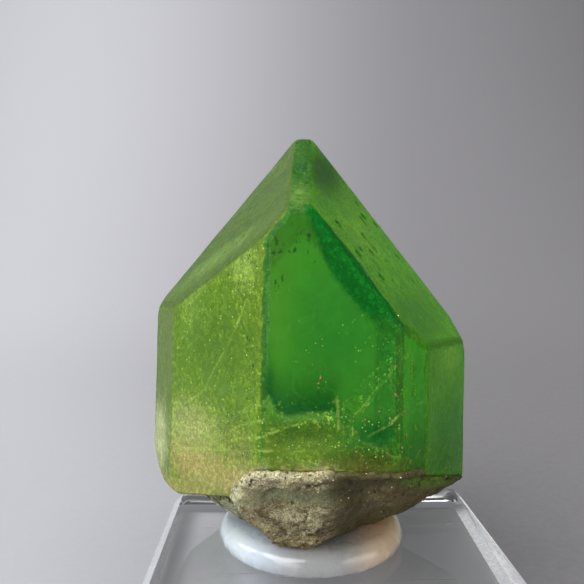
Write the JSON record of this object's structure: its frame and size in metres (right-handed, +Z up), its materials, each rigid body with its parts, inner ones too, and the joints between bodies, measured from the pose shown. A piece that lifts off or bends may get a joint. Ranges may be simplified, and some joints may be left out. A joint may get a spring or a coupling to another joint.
{
  "type": "mounted peridot crystal",
  "caption": "Gem peridot crystal with natural faces on a broken rock foot, fixed with mounting putty to a square clear acrylic display block.",
  "frame": {"origin": "middle of the acrylic block's underside", "axes": "+Z up through the block and the crystal; the specimen's front face looks along -Y; +X is its right-hand side seen from the front"},
  "size_m": [0.0326, 0.0378, 0.0456],
  "materials": {
    "peridot": "natural faces, finely etched, satin to glassy",
    "rock": "broken, rough, dull",
    "putty": "smooth, milky, slightly glossy",
    "acrylic": "polished"
  },
  "bodies": {
    "root": {"crystal": "peridot", "matrix": "rock", "mounting_putty": "putty", "acrylic_base": "acrylic"}
  },
  "joints": []
}
